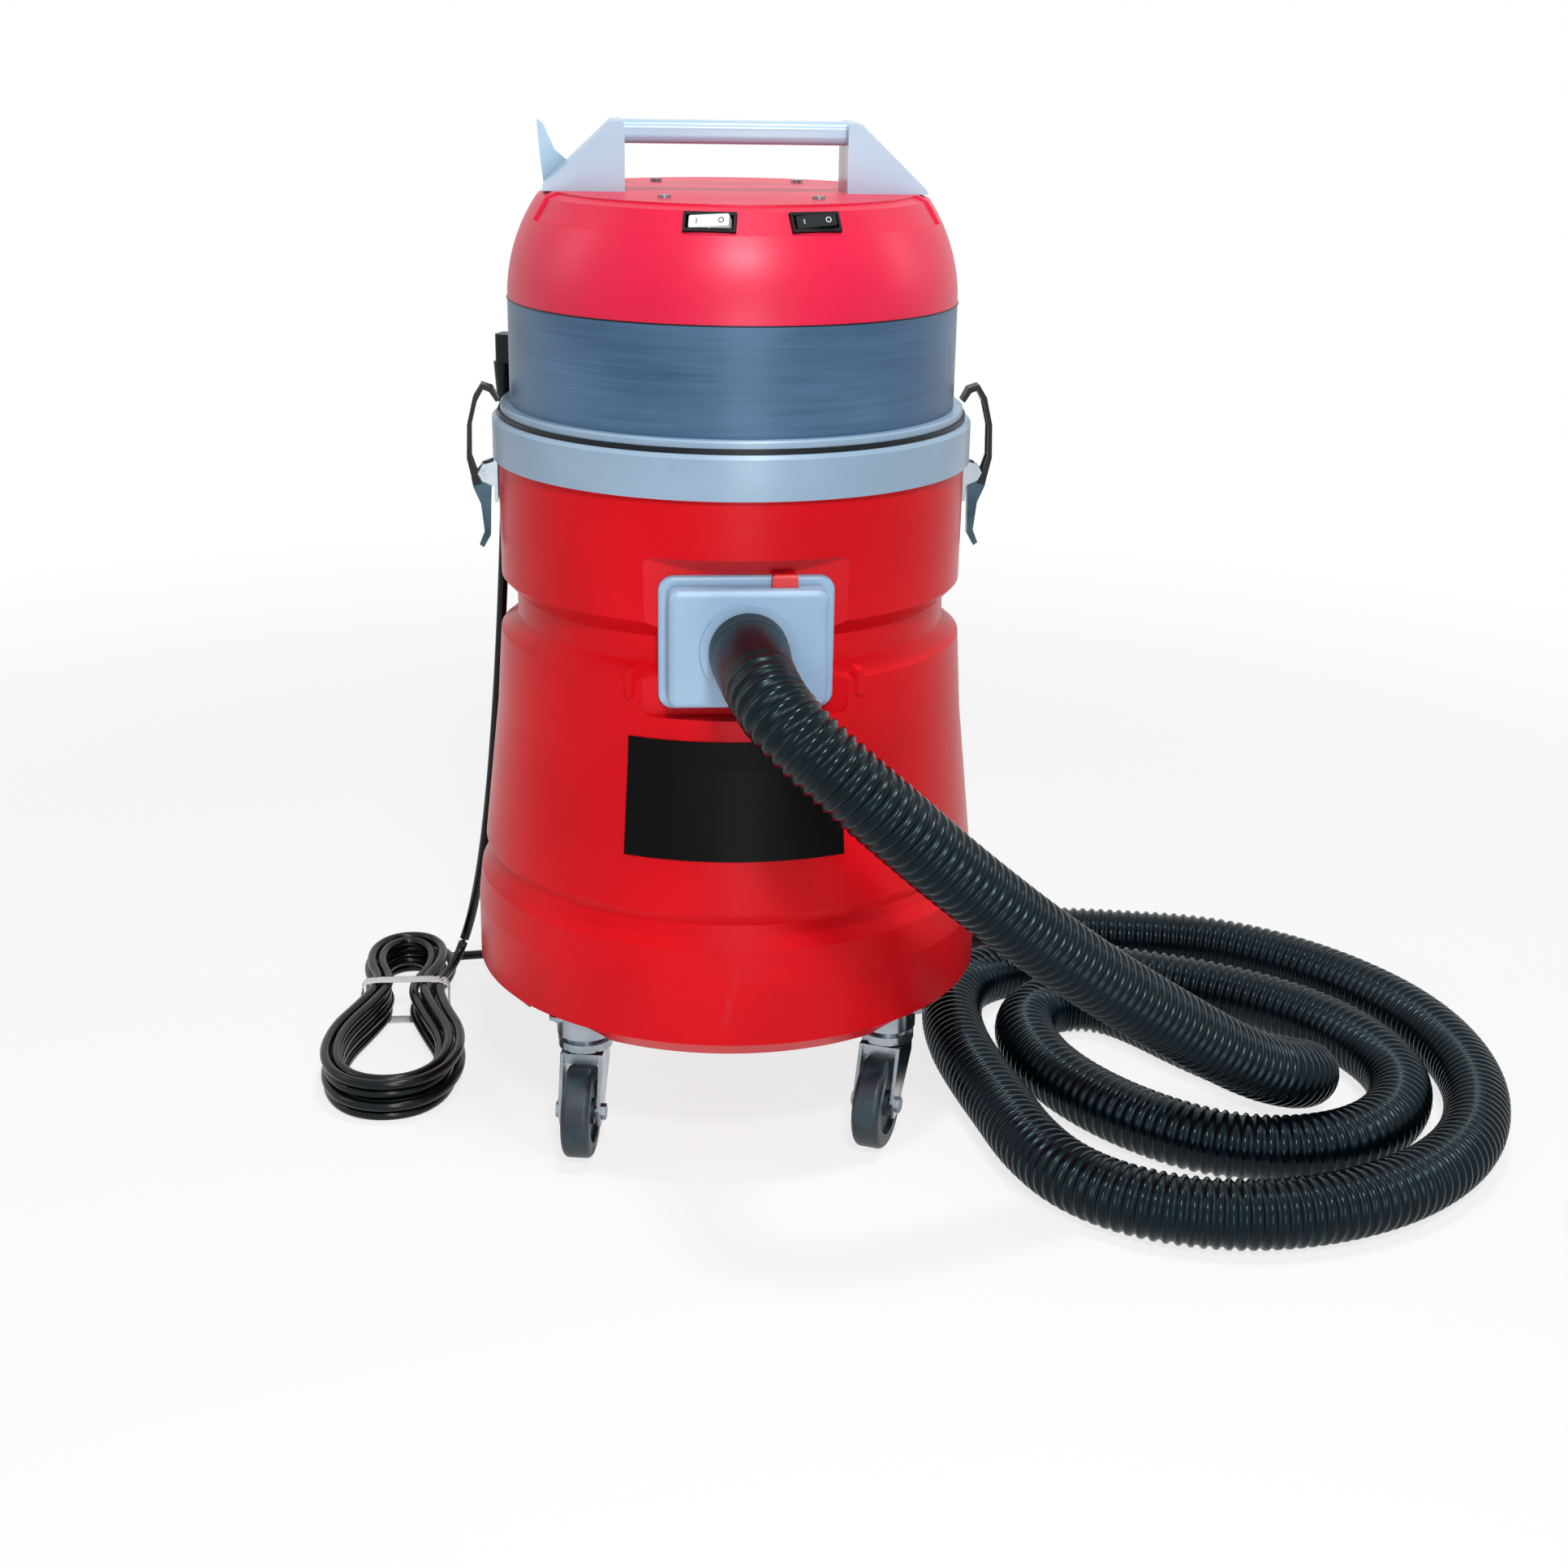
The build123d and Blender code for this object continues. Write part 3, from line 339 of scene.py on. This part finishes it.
dressing = {
    "redTank": ["tank_drum"],
    "redCover": ["top_cover"],
    "slateBand": ["motor_band"],
    "paleRing": ["rim_ring", "head_plate"],
    "paleBox": ["inlet_box", "inlet_collar"],
    "paleHandle": ["handle", "cord_hook"],
    "blackPlastic": [
        "inlet_hood",
        "switch_bodies",
        "cord_gland",
        "fan_housing",
        "filter_cage",
        "filter_cap",
        "filter_knob",
        "rocker_right",
        "cooling_fan",
        "cord_plug",
        "latch_strap_left",
        "latch_strap_right",
    ],
    "blackRubber": ["rim_gasket", "hose_inlet_cuff", "hose_end_cuff"],
    "whitePlastic": ["rocker_left"],
    "redButton": ["inlet_button"],
    "labelBlack": ["label_panel"],
    "paper": ["filter_element", "exhaust_filter"],
    "chrome": ["latch_base_left", "latch_base_right", "latch_pins", "caster_plates"],
    "darkChrome": ["latch_lever_left", "latch_lever_right"],
    "zinc": [
        "caster_bolts",
        "inlet_nuts",
        "cover_screws",
        "motor_can",
        "motor_bearings",
        "motor_shaft",
    ],
    "castMetal": ["impeller"],
    "darkIron": ["armature"],
    "tyreSlate": [],
}
for corner in ("front_left", "front_right", "rear_left", "rear_right"):
    dressing["chrome"].append("caster_fork_" + corner)
    dressing["zinc"].append("caster_axle_" + corner)
    dressing["tyreSlate"].append("caster_wheel_" + corner)
for finish, members in dressing.items():
    for member in members:
        nodes[member].data.materials.clear()
        nodes[member].data.materials.append(finishes[finish])
print("finishes on", sum(len(members) for members in dressing.values()), "nodes")


# new pieces
def surface(name, grid, closed, finish, body):  # mesh from rows of closed rings of points
    rows, columns = grid.shape[:2]
    index = np.arange(rows * columns).reshape(rows, columns)
    index = np.concatenate([index, index[:, :1]], axis=1)
    if closed:  # the last row joins the first
        index = np.concatenate([index, index[:1]], axis=0)
    corners = [index[:-1, :-1], index[:-1, 1:], index[1:, 1:], index[1:, :-1]]
    faces = np.stack(corners, axis=-1).reshape(-1, 4)
    mesh = bpy.data.meshes.new(name)
    mesh.from_pydata(grid.reshape(-1, 3), [], faces.tolist())
    mesh.polygons.foreach_set("use_smooth", np.ones(len(faces), bool))
    mesh.materials.append(finishes[finish])
    piece = bpy.data.objects.new(name, mesh)
    scene.collection.objects.link(piece)
    if body:
        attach(piece, body)
    return piece


def splinePoints(name, route, steps):  # points of the NURBS spline with the route as control points
    curve = bpy.data.curves.new(name, "CURVE")
    curve.dimensions = "3D"
    curve.resolution_u = steps
    spline = curve.splines.new("NURBS")
    spline.points.add(len(route) - 1)
    weighted = np.concatenate([np.array(route), np.ones((len(route), 1))], axis=1)
    spline.points.foreach_set("co", weighted.ravel())
    spline.order_u = 3
    spline.use_endpoint_u = True
    holder = bpy.data.objects.new(name, curve)
    mesh = bpy.data.meshes.new_from_object(holder)
    points = np.zeros(len(mesh.vertices) * 3)
    mesh.vertices.foreach_get("co", points)
    bpy.data.objects.remove(holder)
    bpy.data.curves.remove(curve)
    bpy.data.meshes.remove(mesh)
    return points.reshape(-1, 3)


def evenly(points, count):  # the same line with evenly spaced points, and its length
    steps = np.linalg.norm(np.diff(points, axis=0), axis=1)
    along = np.concatenate([[0], np.cumsum(steps)])
    wanted = np.linspace(0, along[-1], count)
    line = np.stack([np.interp(wanted, along, points[:, axis]) for axis in range(3)], axis=1)
    return line, along[-1]


def tubeGrid(line, radii, sides, up):  # circles along a line: centre + r (side cos a + rise sin a)
    way = np.gradient(line, axis=0)
    way /= np.linalg.norm(way, axis=1, keepdims=True)
    side = np.cross(way, up)
    side /= np.linalg.norm(side, axis=1, keepdims=True)
    rise = np.cross(way, side)
    angle = np.linspace(0, 2 * pi, sides, endpoint=False)[None, :, None]
    ring = side[:, None] * np.cos(angle) + rise[:, None] * np.sin(angle)
    wall = line[:, None] + ring * np.asarray(radii)[:, None, None]
    caps = np.repeat(line[[0, -1], None], sides, axis=1)
    return np.concatenate([caps[:1], wall, caps[1:]])


def eased(value):  # 3 v^2 - 2 v^3
    return value * value * (3 - 2 * value)


hose = {
    "fall": [
        (0, -232, 460),
        (0, -287, 460),
        (20, -334, 436),
        (82, -348, 383),
        (160, -325, 308),
        (256, -286, 223),
        (350, -245, 151),
        (424, -218, 99),
        (472, -196, 75),
        (503, -156, 57),
        (497, -108, 38),
    ],
    "floor": [
        (462, -70), (428, -24), (400, 22), (370, 58), (316, 64), (281, 20), (278, -44),
        (297, -110), (336, -172), (390, -222), (454, -242), (522, -228), (576, -182), (601, -116),
        (590, -42), (552, 24), (490, 78), (420, 114), (350, 142), (290, 146), (240, 112),
        (217, 50), (213, -20), (220, -86), (231, -152), (241, -216), (264, -276), (312, -322),
        (384, -345), (464, -339), (546, -306), (614, -246), (656, -166), (671, -80), (661, 8),
        (625, 86), (573, 150), (508, 195), (434, 214), (352, 227),
    ],
    "rest": 28.9,
    "crest": 0.0285,
    "groove": 0.0259,
    "cuff": 0.031,
    "smooth": (0.045, 0.085),
    "ribs": 392,
    "ribShape": (0.55, 0.95),
    "steps": 8,
    "sides": 28,
    "fineness": 24,
    "up": (0.0, 0.0, 1.0),
}


def hoseRoute():  # down from the inlet, back under itself, then two loops on the floor
    laid = [(x, y, hose["rest"]) for x, y in hose["floor"]]
    return np.array(hose["fall"] + laid) / 1000


# radius = groove + a rounded rib that repeats along the line, smooth and wider in the inlet's cuff
def makeHose():
    count = hose["ribs"] * hose["steps"] + 1
    line, length = evenly(splinePoints("hoseLine", hoseRoute(), hose["fineness"]), count)
    along = np.linspace(0, length, count)
    begin, end = hose["smooth"]
    ramp = eased(np.clip((along - begin) / (end - begin), 0, 1))
    middle, swing = hose["ribShape"]
    wave = np.clip(middle - swing * np.cos(2 * pi * np.arange(count) / hose["steps"]), 0, 1)
    rib = eased(wave) * ramp + 1 - ramp
    swell = (hose["cuff"] - hose["crest"]) * (1 - np.clip(along / end, 0, 1)) ** 2
    radii = hose["groove"] + (hose["crest"] - hose["groove"]) * rib + swell
    grid = tubeGrid(line, radii, hose["sides"], hose["up"])
    piece = surface("hose", grid, False, "hoseBlack", "tank")
    # the rib mark carries the painted crest highlight and groove shade; it is zero in the smooth cuff
    mark = piece.data.attributes.new("rib", "FLOAT", "POINT")
    paintedCrestLight = rib * ramp
    ends = np.concatenate([paintedCrestLight[:1], paintedCrestLight, paintedCrestLight[-1:]])
    mark.data.foreach_set("value", np.repeat(ends, hose["sides"]).astype(np.float32))
    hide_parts("hose_drop", "hose_coil")
    print("hose length", round(length, 3))


makeHose()

cord = {
    "diameter": 0.009,
    "exit": (207, 158, 606),
    "gland": (0, 56),
    "drop": [
        (-197, 82, 450),
        (-204, 89, 350),
        (-213, 100, 255),
        (-224, 122, 170),
        (-236, 148, 106),
        (-246, 168, 66),
        (-257, 152, 42),
        (-272, 118, 38),
    ],
    "outerLoop": [
        (27, 120), (44, 66), (64, 8), (60, -52), (34, -90), (-6, -100), (-44, -82), (-65, -36),
        (-62, 24), (-42, 76), (-26, 126), (-42, 172), (-40, 214), (-18, 243), (20, 244), (43, 216),
        (45, 170),
    ],
    "innerLoop": [
        (6.5, 120), (22, 66), (43, 6), (40, -42), (24, -71), (-5, -79), (-31, -66), (-44, -31),
        (-41, 21), (-21, 73), (-5.5, 124), (-21, 170), (-20, 203), (-8, 221), (9, 222), (22, 204),
        (23.5, 168),
    ],
    "tail": [(-285, 250, 6.7), (-250, 250, 9), (-222, 244, 13)],
    "left": 3,
    "middle": -305,
    "layers": 4,
    "turns": 2,
    "step": 10.6,
    "floor": 6.2,
    "sides": 14,
    "spacing": 0.004,
    "fineness": 10,
    "up": (0.31, 0.11, 0.94),
}


def cordRoute():  # down the drum's side, then loops in and out, a layer lower at each reversal
    out, turn, high = cord["exit"]
    side = (out * cos(radians(turn)), out * sin(radians(turn)))
    gland = [(*side, high - drop) for drop in cord["gland"]]
    loop = len(cord["outerLoop"])
    step = np.arange(1, cord["layers"] * cord["turns"] * loop - cord["left"])
    turns = step / loop
    fold = np.abs((turns / cord["turns"] + 1) % 2 - 1)[:, None]
    outer = np.array(cord["outerLoop"])[step % loop]
    inner = np.array(cord["innerLoop"])[step % loop]
    flat = outer + (inner - outer) * fold + np.array([cord["middle"], 0])
    reversal = np.clip(np.round(turns / cord["turns"]), 1, cord["layers"] - 1)
    climb = np.clip((turns - reversal * cord["turns"]) / 0.5 + 0.5, 0, 1)
    top = cord["floor"] + (cord["layers"] - 1) * cord["step"]
    wound = np.column_stack([flat, top - cord["step"] * (reversal - 1 + climb)])
    return np.concatenate([gland, cord["drop"], wound, cord["tail"]]) / 1000


tie = {
    "middle": (-0.302, 0.02245),
    "half": (0.0415, 0.0216),
    "from": 0.1232,
    "to": 0.1098,
    "square": 7,
    "around": 160,
    "rows": 9,
    "crease": (0.0004, 0.0003),
    "flutter": 0.0006,
    "sheet": 0.0008,
}


def makeTie():  # squared ring, |x/a|^7 + |z/b|^7 = 1, carried along y with small creases
    angle = np.linspace(0, 2 * pi, tie["around"], endpoint=False)[None, :]
    along = np.linspace(0, 1, tie["rows"])[:, None]
    coarse, fine = tie["crease"]
    crease = coarse * np.sin(9 * angle + 5 * along) + fine * np.sin(23 * angle - 7 * along)
    bow = 2 / tie["square"]
    across = np.sign(np.cos(angle)) * np.abs(np.cos(angle)) ** bow
    upright = np.sign(np.sin(angle)) * np.abs(np.sin(angle)) ** bow
    x = tie["middle"][0] + (tie["half"][0] + crease - coarse) * across
    z = tie["middle"][1] + (tie["half"][1] + np.minimum(crease, 0) - fine) * upright
    wave = tie["flutter"] * np.sin(3 * angle + 2 * along)
    y = tie["from"] + (tie["to"] - tie["from"]) * along + wave
    grid = np.stack([x, y, z], axis=-1)
    piece = surface("paperTie", grid, False, "paper", "tank")
    wall = piece.modifiers.new("sheet", "SOLIDIFY")
    wall.thickness = tie["sheet"]
    wall.offset = 0
    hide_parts("cord_tie")
    return piece


def makeCord():  # round cord along the route, not attached to any moving part
    route = cordRoute()
    points = splinePoints("cordLine", route, cord["fineness"])
    length = evenly(points, 2)[1]
    count = int(length / cord["spacing"])
    line, length = evenly(points, count)
    grid = tubeGrid(line, np.full(count, cord["diameter"] / 2), cord["sides"], cord["up"])
    piece = surface("mainsCord", grid, False, "cordRubber", None)
    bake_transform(piece)
    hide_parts("cord_drop", "cord_hank")
    makeTie().name
    print("cord length", round(length, 3))


makeCord()

# small parts on the head
seal = {
    "reach": 0.1842,
    "height": 0.7046,
    "out": 0.0016,
    "rise": 0.00056,
    "around": 220,
    "sides": 14,
}


def makeSeal():  # dark bead in the seam under the cover: a thin ellipse carried round the axis
    turn = np.linspace(0, 2 * pi, seal["around"], endpoint=False)[:, None]
    angle = np.linspace(0, 2 * pi, seal["sides"], endpoint=False)[None, :]
    reach = seal["reach"] + seal["out"] * np.cos(angle)
    rise = seal["height"] + seal["rise"] * np.sin(angle) + 0 * turn
    grid = np.stack([reach * np.cos(turn), reach * np.sin(turn), rise], axis=-1)
    surface("coverSeal", grid[::-1], True, "blackRubber", "head")


switches = {
    "offsets": {"left": -0.029, "right": 0.051},
    "marks": {"left": ("blackPlastic", "black_plastic"), "right": ("whitePlastic", "white_plastic")},
    "band": 0.185,
    "sideRadius": 0.1367,
    "low": 0.7052,
    "middle": 0.778,
    "depth": 0.0022,
    "tilt": 8.0,
    "stand": 0.003,
    "apart": 0.0095,
    "ring": 0.0019,
    "bar": 0.002,
    "line": 0.00035,
    "sides": 8,
}


def rockerFace(offset):  # middle of a rocker's top face, with its long, short and outward ways
    rise = np.arcsin((switches["middle"] - switches["low"]) / switches["sideRadius"])
    reach = switches["band"] - switches["sideRadius"] * (1 - cos(rise)) - switches["depth"]
    turn = -pi / 2 + np.arcsin(offset / reach)
    flat = np.array([-sin(turn), cos(turn), 0])
    out = np.array([cos(turn) * cos(rise), sin(turn) * cos(rise), sin(rise)])
    lean = radians(switches["tilt"])
    longWay = flat * cos(lean) + out * sin(lean)
    outWay = out * cos(lean) - flat * sin(lean)
    base = np.array([reach * cos(turn), reach * sin(turn), switches["middle"]])
    return base + outWay * switches["stand"], longWay, np.cross(outWay, longWay), outWay


def makeMarks():  # a bar at one end of each rocker and a ring at the other, as thin raised lines
    turn = np.linspace(0, 2 * pi, 41)[:, None]
    span = np.linspace(-switches["bar"], switches["bar"], 12)[:, None]
    for side, offset in switches["offsets"].items():
        middle, longWay, shortWay, outWay = rockerFace(offset)
        finish, slotName = switches["marks"][side]
        circle = switches["ring"] * (np.cos(turn) * longWay + np.sin(turn) * shortWay)
        ring = middle + longWay * switches["apart"] + circle
        bar = middle - longWay * switches["apart"] + span * shortWay
        for shape, line in (("Ring", ring), ("Bar", bar)):
            radii = np.full(len(line), switches["line"])
            grid = tubeGrid(line, radii, switches["sides"], outWay)
            name = "rocker" + side.capitalize() + shape
            surface(name, grid, False, finish, "rocker_" + side)


makeSeal()
makeMarks()

print("pieces done")
